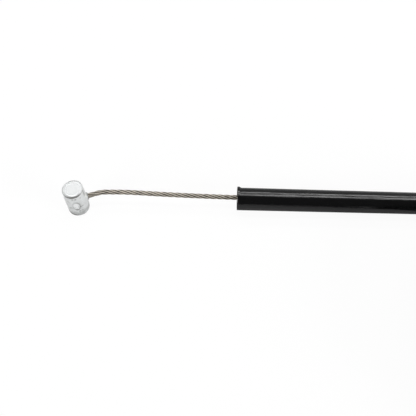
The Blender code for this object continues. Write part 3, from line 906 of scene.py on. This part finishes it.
@dataclass
class StrandedWire:
    """One end of the inner wire: a core strand and six strands of right-hand lay, each of seven wires."""

    prefix: str
    knots: list[Vector]
    body: Body
    wires: int = 6
    wire_sides: int = 8
    wire_share: float = 0.72
    strand_swell: float = 1.05
    step: float = 0.26 * MM
    strand_lay: float = 45.0 * MM

    def build(self) -> list[bpy.types.Object]:
        """Build every strand as a piece of its own.

        Returns:
            The strands, the core first.
        """
        path = catmull_rom(self.knots, self.step)
        finish = WIRE.build()
        made = [self._strand("core_strand", path, 0.0, LAYOUT.core_radius, 0.0, finish)]
        for number in range(LAYOUT.strand_count):
            made.append(self._strand(f"strand_{number + 1}", path, LAYOUT.strand_circle, LAYOUT.strand_radius,
                                     math.tau * number / LAYOUT.strand_count, finish))
        return made

    def _strand(self, label: str, path: np.ndarray, circle: float, radius: float, phase: float,
                finish: bpy.types.Material) -> bpy.types.Object:
        """Lay one strand of seven wires round the wire's middle.

        Args:
            label: The strand's name after the prefix.
            path: Points of the wire's middle.
            circle: Distance of the strand's middle from the wire's.
            radius: The strand's radius.
            phase: Where it starts, as an angle.
            finish: Its material.

        Returns:
            The strand.
        """
        across, upward, run = path_frames(path)
        turn = phase - math.tau * run / LAYOUT.lay_length
        out = across * np.cos(turn)[:, None] + upward * np.sin(turn)[:, None]
        beside = upward * np.cos(turn)[:, None] - across * np.sin(turn)[:, None]
        wire_radius = self.wire_share * radius
        corner = math.tau * np.arange(self.wire_sides) / self.wire_sides
        reach = LAYOUT.strand_circle + LAYOUT.strand_radius
        tubes, gap_and_underside_shade = [], []
        for number in range(self.wires + 1):
            spin = math.tau * number / self.wires + math.tau * run / self.strand_lay
            lie = 0.0 if number == self.wires else self.strand_swell * radius - wire_radius
            centre = path + out * circle + (out * np.cos(spin)[:, None] + beside * np.sin(spin)[:, None]) * lie
            rings = centre[:, None, :] + wire_radius * (out[:, None, :] * np.cos(corner)[None, :, None]
                                                        + beside[:, None, :] * np.sin(corner)[None, :, None])
            tubes.append((rings, run))
            offset = rings - path[:, None, :]
            # Dirt and painted shade: the grime colour darkens the gaps between strands.
            gap = 1.0 - smooth_step(0.82 * reach, 1.02 * reach, np.linalg.norm(offset, axis=-1))
            # Painted shade: the wire's underside is darkened too.
            below = 1.0 - smooth_step(-0.4 * reach, 0.8 * reach, offset[..., 2])
            gap_and_underside_shade.append((gap ** (1.0 - 0.5 * below) + 0.12 * below).ravel())
        piece = swept(f"{self.prefix}_laid_{label}", tubes)
        mark_recess_and_shade(piece, np.concatenate(gap_and_underside_shade))
        finish_mesh(piece, 70.0)
        return seat(piece, finish, Slot.WIRE, self.body, f"{self.prefix}_wire_{label}")


class Skin:
    """A turned barrel's points: their place round it and up it, how far each is lifted, and how soiled it is,
    with painted shade.
    """

    def __init__(self, piece: bpy.types.Object, edge: float) -> None:
        """Read the points of a barrel that stands at the origin.

        Args:
            piece: The turned barrel.
            edge: Radius of its upper edge.
        """
        self.places = points_of(piece)
        # A view of the points, so it follows them as they move
        self.height = self.places[:, 2]
        self.around = np.arctan2(self.places[:, 1], self.places[:, 0])
        self.flat = np.hypot(self.places[:, 0], self.places[:, 1])
        self.on_side = smooth_step(LAYOUT.nipple_radius - 0.5 * edge, LAYOUT.nipple_radius, self.flat)
        self.uneven = np.array([noise.noise(Vector(p) / (1.7 * MM))
                                + 0.45 * noise.noise(Vector(p) / (0.55 * MM)) for p in self.places])
        self.lift = np.zeros(len(self.places))
        self.soil_and_shade = np.zeros(len(self.places))

    def across(self, degrees: float) -> np.ndarray:
        """Return each point's distance round the barrel from a direction."""
        return LAYOUT.nipple_radius * wrapped(self.around - math.radians(degrees))

    def away(self, degrees: float, level: float, stretch: float = 1.0) -> np.ndarray:
        """Return each point's distance over the skin from a place on it, less by stretch along the barrel."""
        return np.hypot(self.across(degrees), (self.height - level) / stretch)

    def facing(self, degrees: float) -> np.ndarray:
        """Return how far, from 0 to 1, each point faces a direction."""
        return 0.5 + 0.5 * np.cos(self.around - math.radians(degrees))


@dataclass
class BarrelNipple:
    """Zinc barrel cast on the wire, with the boss round the wire, the ring of an ejector pin and small pits.

    Directions are in degrees. A pit is (direction, height, size, depth), and a crease runs through
    (direction, height), in millimetres.
    """

    name: str
    node: str
    centre: Vector
    direction: float
    flipped: bool
    body: Body
    edge: float = 0.42 * MM
    foot_edge: float = 0.12 * MM
    foot_draft: float = 0.18 * MM
    foot_reach: float = 6.0 * MM
    foot_direction: float = -42.0
    grid: float = 0.1 * MM
    steps: int = 184
    crown_width: float = 0.75 * MM
    crown_drop: float = 0.09 * MM
    crown_direction: float = -70.0
    taper: float = 0.50 * MM
    taper_start: float = 3.6 * MM
    taper_direction: float = -5.0
    boss_radius: float = 0.98 * MM
    boss_reach: float = 0.42 * MM
    socket_radius: float = 0.76 * MM
    socket_depth: float = 0.55 * MM
    ring_direction: float = -80.0
    ring_height: float = 5.6 * MM
    ring_radius: float = 1.08 * MM
    ring_stretch: float = 1.72
    ring_depth: float = 0.13 * MM
    ring_width: float = 0.22 * MM
    ring_dome: float = 0.07 * MM
    ring_deepest: tuple[float, float] = (48.0, -88.0)
    crease_depth: float = 0.09 * MM
    crease_width: float = 0.11 * MM
    seam_rise: float = 0.035 * MM
    seam_width: float = 0.09 * MM
    unevenness: float = 0.028 * MM
    end_unevenness: float = 0.002 * MM
    pits: tuple[tuple[float, float, float, float], ...] = (
        (-75.0, 9.15, 0.28, 0.16), (-89.0, 9.30, 0.22, 0.12), (-45.5, 8.85, 0.20, 0.12),
        (-118.0, 7.6, 0.45, 0.08), (-112.0, 4.7, 0.32, 0.05), (-24.0, 2.2, 0.16, 0.08), (64.0, 6.9, 0.19, 0.10),
        (141.0, 3.0, 0.18, 0.09), (171.0, 8.3, 0.16, 0.09), (97.0, 4.1, 0.15, 0.08))
    creases: tuple[tuple[tuple[float, float], ...], ...] = (
        ((-66.0, 5.0), (-56.0, 5.05), (-47.5, 5.0), (-40.0, 4.9)),
        ((-74.0, 2.6), (-66.0, 2.95), (-57.0, 2.8), (-50.0, 2.9)))

    def build(self) -> bpy.types.Object:
        """Turn the barrel finely, then press its marks into the surface."""
        radius, length, edge, foot = LAYOUT.nipple_radius, LAYOUT.nipple_length, self.edge, self.foot_edge
        rings = round((length - 2 * edge) / self.grid)
        caps = round((radius - edge) / (1.6 * self.grid))
        arc = [math.pi / 2 * k / 6 for k in range(7)]
        profile = [((radius - edge) * k / caps, 0.0) for k in range(caps)]
        profile += [(radius - foot + foot * math.sin(a), foot * (1 - math.cos(a))) for a in arc]
        profile += [(radius, foot + (length - edge - foot) * k / rings) for k in range(1, rings)]
        profile += [(radius - edge + edge * math.cos(a), length - edge + edge * math.sin(a)) for a in arc]
        profile += [((radius - edge) * (caps - k) / caps, length) for k in range(1, caps + 1)]
        piece = lathe(self.name, profile, self.steps, Vector((0, 0, 1)), Vector(), closed=False)
        skin = Skin(piece, edge)
        skin.lift += self.unevenness * skin.uneven
        self._ring(skin)
        self._pits(skin)
        self._boss(skin)
        self._shape(skin)
        self._paint_shade(skin)
        mark_recess_and_shade(piece, skin.soil_and_shade)
        if self.flipped:
            skin.places[:, 1] = -skin.places[:, 1]
            skin.places[:, 2] = length - skin.places[:, 2]
        put_points(piece, skin.places + np.array(self.centre))
        finish_mesh(piece, 180.0)
        return seat(piece, ZINC.build(), Slot.ZINC, self.body, self.node)

    def _ring(self, skin: Skin) -> None:
        """Press the ejector pin's ring, worn away in part, and dull the plain skin round it."""
        from_ring = skin.away(self.ring_direction, self.ring_height, self.ring_stretch)
        bearing = np.arctan2((skin.height - self.ring_height) / self.ring_stretch,
                             skin.across(self.ring_direction))
        kept = 0.38 + sum(0.62 * bell(wrapped(bearing - math.radians(deepest)), 0.75)
                          for deepest in self.ring_deepest)
        groove = kept * bell(from_ring - self.ring_radius, self.ring_width)
        skin.lift += self.ring_dome * (1.0 - smooth_step(0.0, self.ring_radius, from_ring))
        skin.lift -= self.ring_depth * groove
        plain = skin.on_side * smooth_step(0.6 * self.ring_radius, self.ring_radius, from_ring)
        skin.soil_and_shade += 0.62 * groove + plain * (0.12 + 0.20 * np.clip(skin.uneven + 0.10, 0.0, 1.0))

    def _pits(self, skin: Skin) -> None:
        """Press the pits and creases, and raise the mould's seam on both sides."""
        for direction, level, size, depth in self.pits:
            dent = bell(skin.away(direction, level * MM), size * MM)
            skin.lift -= depth * MM * dent
            skin.soil_and_shade += 5.5 * depth * dent
        places = [start + (end - start) * share for crease in map(np.array, self.creases)
                  for start, end in zip(crease, crease[1:]) for share in (0.0, 0.25, 0.5, 0.75)]
        fold = bell(np.min([skin.away(direction, level * MM) for direction, level in places], axis=0),
                    self.crease_width)
        skin.lift -= self.crease_depth * fold
        skin.soil_and_shade += 0.85 * fold
        for direction in (self.direction, self.direction + 180.0):
            skin.lift += self.seam_rise * bell(skin.across(direction), self.seam_width)

    def _boss(self, skin: Skin) -> None:
        """Raise the boss that the wire leaves by, and open its socket."""
        from_wire = skin.away(self.direction, LAYOUT.exit_height)
        boss = 1.0 - smooth_step(self.boss_radius - 0.10 * MM, self.boss_radius + 0.34 * MM, from_wire)
        socket = 1.0 - smooth_step(self.socket_radius - 0.02 * MM, self.socket_radius + 0.08 * MM, from_wire)
        skin.lift = skin.lift * (1.0 - boss) + self.boss_reach * boss - self.socket_depth * socket
        skin.soil_and_shade += 0.9 * socket + boss * (0.75 + 0.5 * np.clip(skin.uneven, -0.6, 0.6))

    def _shape(self, skin: Skin) -> None:
        """Lift the skin, wear the upper rim down, and draw in both ends."""
        radius, length = LAYOUT.nipple_radius, LAYOUT.nipple_length
        outward = np.stack([np.cos(skin.around), np.sin(skin.around), np.zeros(len(skin.places))], axis=-1)
        skin.places += outward * (skin.lift * skin.on_side)[:, None]
        end = np.where(skin.height > length / 2, 1.0, -1.0)
        rim = np.clip((skin.flat - (radius - self.edge - self.crown_width)) / self.crown_width, 0.0, 1.0)
        worn = rim ** 2 * skin.facing(self.crown_direction) ** 1.5 * (1.0 - skin.on_side)
        skin.height -= self.crown_drop * worn * (skin.height > length / 2)
        flat_end = (1.0 - skin.on_side) * (skin.flat < radius - self.edge)
        skin.height += end * self.end_unevenness * skin.uneven * flat_end
        drawn = self.taper * (0.10 + 0.90 * skin.facing(self.taper_direction) ** 4)
        drawn *= smooth_step(self.taper_start, length, skin.height)
        foot = 1.0 - smooth_step(0.0, self.foot_reach, skin.height)
        drawn += self.foot_draft * skin.facing(self.foot_direction) ** 2 * foot
        skin.places -= outward * (drawn * np.minimum(skin.flat / radius, 1.0))[:, None]

    def _paint_shade(self, skin: Skin) -> None:
        """Paint shade as darker colour: the line under the upper rim, the foot, the flank by the wire and the
        rim's far side.
        """
        radius, length, edge = LAYOUT.nipple_radius, LAYOUT.nipple_length, self.edge
        height, outer = skin.height, skin.flat > 0.8 * radius
        # Painted shade: a dark line just under the upper rim, on the front.
        skin.soil_and_shade += 1.5 * skin.facing(-79.0) ** 4 * bell(height - length + 0.50 * edge, 0.15 * MM) * outer
        # Painted contact shadow along the foot's rim at the lower left.
        skin.soil_and_shade += 1.2 * skin.facing(-125.0) ** 6 * bell(height - 0.35 * MM, 0.50 * MM) * outer
        # Painted shade: the side darker towards the foot.
        skin.soil_and_shade += 0.34 * skin.on_side * bell(height - 1.5 * MM, 0.9 * MM)
        # Painted shade: a dark line down the flank beside the wire.
        flank = bell(skin.around - math.radians(-6.0), 0.16) * smooth_step(6.8 * MM, 8.2 * MM, height)
        skin.soil_and_shade += 0.45 * skin.on_side * flank
        # Painted shade: the far side of the upper rim greyed.
        back = (1.0 - skin.facing(-65.0)) ** 0.6 * (height > 0.9 * length)
        skin.soil_and_shade += 0.28 * back * bell(skin.flat - radius + 0.9 * edge, 0.40 * MM)


@dataclass
class Adjuster:
    """Turned adjuster: a cup swaged on the conduit, a shoulder, and a shank with an M6 thread."""

    steps: int = 72
    cup_wall: float = 0.9 * MM
    cup_bore: float = 3.8 * MM
    bore: float = 1.348 * MM
    edge: float = 0.25 * MM
    pitch: float = 1.0 * MM
    per_pitch: int = 14
    thread_depth: float = 0.56 * MM
    crimps: tuple[float, float] = (2.6 * MM, 6.2 * MM)
    crimp_width: float = 1.6 * MM
    crimp_depth: float = 0.34 * MM

    def build(self) -> bpy.types.Object:
        """Turn the whole adjuster, then cut the thread and swage the cup."""
        cup, depth = self.cup_bore + self.cup_wall, LAYOUT.cup_depth
        shoulder = depth + LAYOUT.cup_floor
        end = shoulder + LAYOUT.thread_length
        edge, shank = self.edge, LAYOUT.thread_radius
        profile = [(self.cup_bore, edge), (self.cup_bore + edge, 0.0), (cup - edge, 0.0),
                   (cup - 0.07 * MM, 0.07 * MM)]
        profile += [(cup, along) for along in np.arange(edge, shoulder - 1.0 * MM, 0.12 * MM)]
        profile += [(cup, shoulder - 1.0 * MM), (cup - 0.3 * MM, shoulder - 0.3 * MM),
                    (cup - 1.0 * MM, shoulder), (shank + 0.35 * MM, shoulder),
                    (shank + 0.08 * MM, shoulder + 0.08 * MM), (shank, shoulder + 0.35 * MM)]
        profile += [(shank, along) for along in np.arange(shoulder + 0.45 * MM, end - 0.02 * MM,
                                                          self.pitch / self.per_pitch)]
        profile += [(shank - 0.62 * MM, end), (self.bore + 0.2 * MM, end), (self.bore, end - 0.2 * MM),
                    (self.bore, depth), (self.cup_bore, depth)]
        piece = lathe("adjuster_body", profile, self.steps, Vector((-1, 0, 0)), LAYOUT.cup_mouth)
        self._form(piece, cup, shoulder, end)
        finish_mesh(piece, 42.0)
        return seat(piece, PLATED.build(), Slot.PLATED, Body.CONDUIT, "far_adjuster")

    def _form(self, piece: bpy.types.Object, cup: float, shoulder: float, end: float) -> None:
        """Cut the thread and press the crimps by moving points towards the axis.

        Args:
            piece: The turned adjuster.
            cup: The cup's outer radius.
            shoulder: Where the shank starts, from the cup's mouth.
            end: Where it ends.
        """
        places = points_of(piece)
        along = LAYOUT.cup_mouth.x - places[:, 0]
        side = places[:, 1:] - np.array(LAYOUT.cup_mouth)[1:]
        radius = np.hypot(side[:, 0], side[:, 1])
        around = np.arctan2(side[:, 1], side[:, 0])
        shank = LAYOUT.thread_radius
        in_thread = (np.abs(radius - shank) < 0.01 * MM) & (along > shoulder + 0.4 * MM)
        phase = (along / self.pitch + around / math.tau) % 1.0
        crest = np.clip((np.abs(phase - 0.5) - 0.0625) / 0.3125, 0.0, 1.0)
        fade = smooth_step(shoulder + 0.5 * MM, shoulder + 2.0 * MM, along)
        depth = self.thread_depth * (1.0 - crest) * fade * in_thread
        chamfer = np.clip(along - (end - 0.65 * MM), 0.0, None) * in_thread
        target = np.minimum(radius - depth, np.where(in_thread, shank - chamfer, radius))
        on_cup = (np.abs(radius - cup) < 0.01 * MM) & (along < shoulder)
        half = self.crimp_width / 2
        from_crimp = np.min([np.abs(along - place - half) for place in self.crimps], axis=0)
        squeeze = (1.0 - smooth_step(0.5 * half, half, from_crimp)) * on_cup
        target -= self.crimp_depth * squeeze * (0.72 + 0.28 * np.cos(6.0 * around))
        scale = np.where(radius > 0, target / np.maximum(radius, 1e-9), 1.0)
        places[:, 1:] = np.array(LAYOUT.cup_mouth)[1:] + side * scale[:, None]
        put_points(piece, places)
        mark_recess_and_shade(piece, depth / self.thread_depth * 0.8 + 0.5 * squeeze)


@dataclass
class LockNut:
    """Hexagon nut with chamfered corners and countersunk bore."""

    number: int
    place: float
    body: Body
    across_flats: float = 10.0 * MM
    thickness: float = 5.0 * MM
    hole: float = 3.08 * MM
    flare: float = 0.45 * MM

    def build(self) -> bpy.types.Object:
        """Cut the hexagon to its turned corners, and bore it."""
        middle = LAYOUT.cup_mouth - Vector((self.place + self.thickness / 2, 0, 0))
        corner = self.across_flats / 2 / math.cos(math.pi / 6)
        half, flat = self.thickness / 2, self.across_flats / 2
        drop = (corner - flat) * math.tan(math.radians(30))
        nut = primitive(f"lock_nut_{self.number}_hexagon", bpy.ops.mesh.primitive_cylinder_add, vertices=6,
                        radius=corner, depth=self.thickness, location=middle, rotation=(0, math.pi / 2, 0))
        rim = [(0.0, -half - MM), (flat - 0.1 * MM, -half - 0.01 * MM), (corner + 0.06 * MM, -half + drop),
               (corner + 0.06 * MM, half - drop), (flat - 0.1 * MM, half + 0.01 * MM), (0.0, half + MM)]
        wide, over = self.hole + self.flare + 0.2 * MM, half + 0.2 * MM
        bore = [(0.0, -half - MM), (wide, -over), (self.hole, -half + self.flare),
                (self.hole, half - self.flare), (wide, over), (0.0, half + MM)]
        for name, profile, steps, operation in (("nut_rim", rim, 120, "INTERSECT"),
                                                ("nut_bore", bore, 72, "DIFFERENCE")):
            join_solid(nut, lathe(name, profile, steps, Vector((1, 0, 0)), middle, closed=False), operation)
        round_edges(nut, 0.09 * MM, 2, 38.0)
        finish_mesh(nut, 40.0)
        return seat(nut, PLATED.build(), Slot.PLATED, self.body, f"far_lock_nut_{self.number}")


@dataclass
class CoilTie:
    """Moulded tie: a strap round the turns, its lock head, and the cut end with its teeth."""

    number: int
    angle: float
    route: Route
    width: float = 3.6 * MM
    strap: float = 0.9 * MM
    clear: float = 0.06 * MM
    directions: int = 96
    head: Vector = Vector((3.4, 5.0, 4.4)) * MM
    head_height: float = 7.0 * MM
    end: tuple[float, float] = (6.2 * MM, 12.2 * MM)
    end_thickness: float = 1.15 * MM
    end_place: float = 1.75 * MM
    teeth: int = 10
    tooth: float = 0.28 * MM

    def build(self) -> bpy.types.Object:
        """Build the tie in its own upright plane, and turn it to its place on the coil."""
        loop = self._loop()
        outside = max(radius for radius, _ in loop)
        band = self._band(loop)
        join_solid(band, self._head(outside), "UNION")
        join_solid(band, self._end(outside), "UNION")
        turn = Matrix.Rotation(math.radians(self.angle), 4, "Z")
        band.matrix_world = Matrix.Translation(LAYOUT.coil_centre) @ turn
        finish_mesh(band, 38.0)
        return seat(band, TIE.build(), Slot.TIE, Body.CONDUIT, f"coil_tie_{self.number}")

    def _loop(self) -> list[tuple[float, float]]:
        """Return the strap's line pulled tight round the turns, as (radius, height) points."""
        turns = []
        swept_angle = (90.0 - self.angle) % 360.0
        while swept_angle <= self.route.turns_swept:
            place = self.route.coil_point(swept_angle) - LAYOUT.coil_centre
            turns.append((math.hypot(place.x, place.y), place.z))
            swept_angle += 360.0
        room = LAYOUT.jacket_radius + self.clear
        loop = []
        for k in range(self.directions):
            a = math.tau * k / self.directions
            near = max(turns, key=lambda turn: turn[0] * math.cos(a) + turn[1] * math.sin(a))
            loop.append((near[0] + room * math.cos(a), near[1] + room * math.sin(a)))
        return loop

    def _band(self, loop: list[tuple[float, float]]) -> bpy.types.Object:
        """Pull a circle to the loop, extrude it to the strap's width, and thicken and round it.

        Args:
            loop: The strap's line.

        Returns:
            The strap.
        """
        band = primitive(f"tie_{self.number}_strap", bpy.ops.mesh.primitive_circle_add,
                         vertices=self.directions, radius=LAYOUT.outer_turn)
        for point, (radius, height) in zip(band.data.vertices, loop):
            point.co = (radius, -self.width / 2, height)
        bpy.ops.object.mode_set(mode="EDIT")
        bpy.ops.mesh.select_all(action="SELECT")
        bpy.ops.mesh.extrude_region_move(TRANSFORM_OT_translate={"value": (0.0, self.width, 0.0)})
        face_outwards(band)
        middle = sum((Vector(p.co) for p in band.data.vertices), Vector()) / len(band.data.vertices)
        facing = band.data.polygons[0]
        outwards = 1.0 if (facing.center - middle).dot(facing.normal) > 0 else -1.0
        use_modifier(band, "SOLIDIFY", thickness=self.strap, offset=outwards, use_even_offset=True)
        round_edges(band, 0.16 * MM, 3, 50.0)
        return band

    def _head(self, outside: float) -> bpy.types.Object:
        """Shape the lock head from a cube: rounded edges, an inset top and the slot in it.

        Args:
            outside: The loop's outermost radius.

        Returns:
            The head.
        """
        place = Vector((outside + self.head.x / 2 + 0.15 * MM, 0.0, self.head_height))
        head = primitive(f"tie_{self.number}_head", bpy.ops.mesh.primitive_cube_add, size=1.0, location=place,
                         scale=self.head)
        round_edges(head, 0.55 * MM, 3)
        only(head)
        bpy.ops.object.mode_set(mode="EDIT")
        pick_faces(head, lambda face: abs(face.normal.z) > 0.99 and face.calc_area() > 2.0 * MM * MM)
        bpy.ops.mesh.inset(thickness=0.4 * MM)
        bpy.ops.mesh.extrude_region_shrink_fatten(TRANSFORM_OT_shrink_fatten={"value": -0.5 * MM})
        bpy.ops.object.mode_set(mode="OBJECT")
        return head

    def _end(self, outside: float) -> bpy.types.Object:
        """Cut the strap's free end above the head, with teeth on its inner side.

        Args:
            outside: The loop's outermost radius.

        Returns:
            The free end.
        """
        low, high = self.end
        middle = outside + self.end_place
        end = primitive(f"tie_{self.number}_end", bpy.ops.mesh.primitive_cube_add, size=1.0,
                        location=(middle, 0.0, (low + high) / 2),
                        scale=(self.end_thickness, self.width, high - low))
        bpy.ops.object.mode_set(mode="EDIT")
        for k in range(1, 2 * self.teeth):
            bpy.ops.mesh.select_all(action="SELECT")
            level = low + (high - low) * k / (2 * self.teeth)
            bpy.ops.mesh.bisect(plane_co=(outside, 0.0, level), plane_no=(0.0, 0.0, 1.0))
        bpy.ops.object.mode_set(mode="OBJECT")
        pitch = (high - low) / self.teeth
        inner = middle - self.end_thickness / 2
        for point in end.data.vertices:
            share = (point.co.z - low) % pitch / pitch
            if abs(point.co.x - inner) < 0.01 * MM and 0.25 < share < 0.75:
                point.co.x += self.tooth
        return end


def near_wire_knots() -> list[Vector]:
    """Return the points that the near wire runs through, from inside the nipple to inside the conduit."""
    angle = math.radians(LAYOUT.exit_angle)
    leave = Vector((math.cos(angle), math.sin(angle), 0.0))
    surface, straight, in_conduit = LAYOUT.nipple_radius, 2.2 * MM, 26.0 * MM
    height = Vector((0, 0, LAYOUT.exit_height))
    mouth = LAYOUT.mouth + Vector((0.0, 0.30, 0.35)) * MM
    knots = [leave * reach + height for reach in (surface - LAYOUT.wire_in_socket, surface,
                                                  surface + straight / 2, surface + straight)]
    bends = ((6.25, 2.36), (7.6, 2.66), (10.0, 2.80), (14.2, 2.93), (18.5, 2.86), (23.5, 2.72), (29.5, 2.60),
             (36.0, 2.53), (42.5, 2.50))
    for x, y in bends:
        rise = (mouth.z - LAYOUT.exit_height) * x * MM / mouth.x
        knots.append(Vector((x * MM, y * MM, LAYOUT.exit_height + rise)))
    return knots + [mouth + Vector((in_conduit * share, 0, 0)) for share in (0, 1 / 3, 2 / 3, 1)]


def far_wire_knots() -> list[Vector]:
    """Return the points of the far wire, from inside its nipple to inside the adjuster."""
    start = LAYOUT.far_nipple + Vector((LAYOUT.nipple_radius - LAYOUT.wire_in_socket, 0, 0))
    reach = LAYOUT.cup_depth + LAYOUT.cup_floor + LAYOUT.thread_length - 6.0 * MM
    end = LAYOUT.cup_mouth - Vector((reach, 0, 0))
    return [start.lerp(end, k / 4) for k in range(5)]


def main() -> None:
    """Build the studio and every piece of the cable in order."""
    logging.basicConfig(level=logging.INFO, format="%(name)s: %(message)s")
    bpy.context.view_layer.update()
    Studio().build()
    route = Route()
    jacket, layers = Conduit(route).build()
    ties = [CoilTie(number + 1, angle, route).build() for number, angle in enumerate(route.tie_angles)]
    adjuster = Adjuster().build()
    nuts = [LockNut(1, 20.0 * MM, Body.NUT_1).build(), LockNut(2, 31.0 * MM, Body.NUT_2).build()]
    StrandedWire("near", near_wire_knots(), Body.NEAR_WIRE).build()
    far_wire = StrandedWire("far", far_wire_knots(), Body.FAR_WIRE).build()
    BarrelNipple("near_cast_barrel", "near_barrel_nipple", Vector(), LAYOUT.exit_angle, False,
                 Body.NEAR_WIRE).build()
    base = LAYOUT.far_nipple - Vector((0, 0, LAYOUT.nipple_length - LAYOUT.exit_height))
    far_barrel = BarrelNipple("far_cast_barrel", "far_barrel_nipple", base, 0.0, True, Body.FAR_WIRE).build()
    path = route.points()
    LOG.info("conduit: %.3f m along its middle", run_of(path)[-1])


if __name__ == "__main__":
    main()
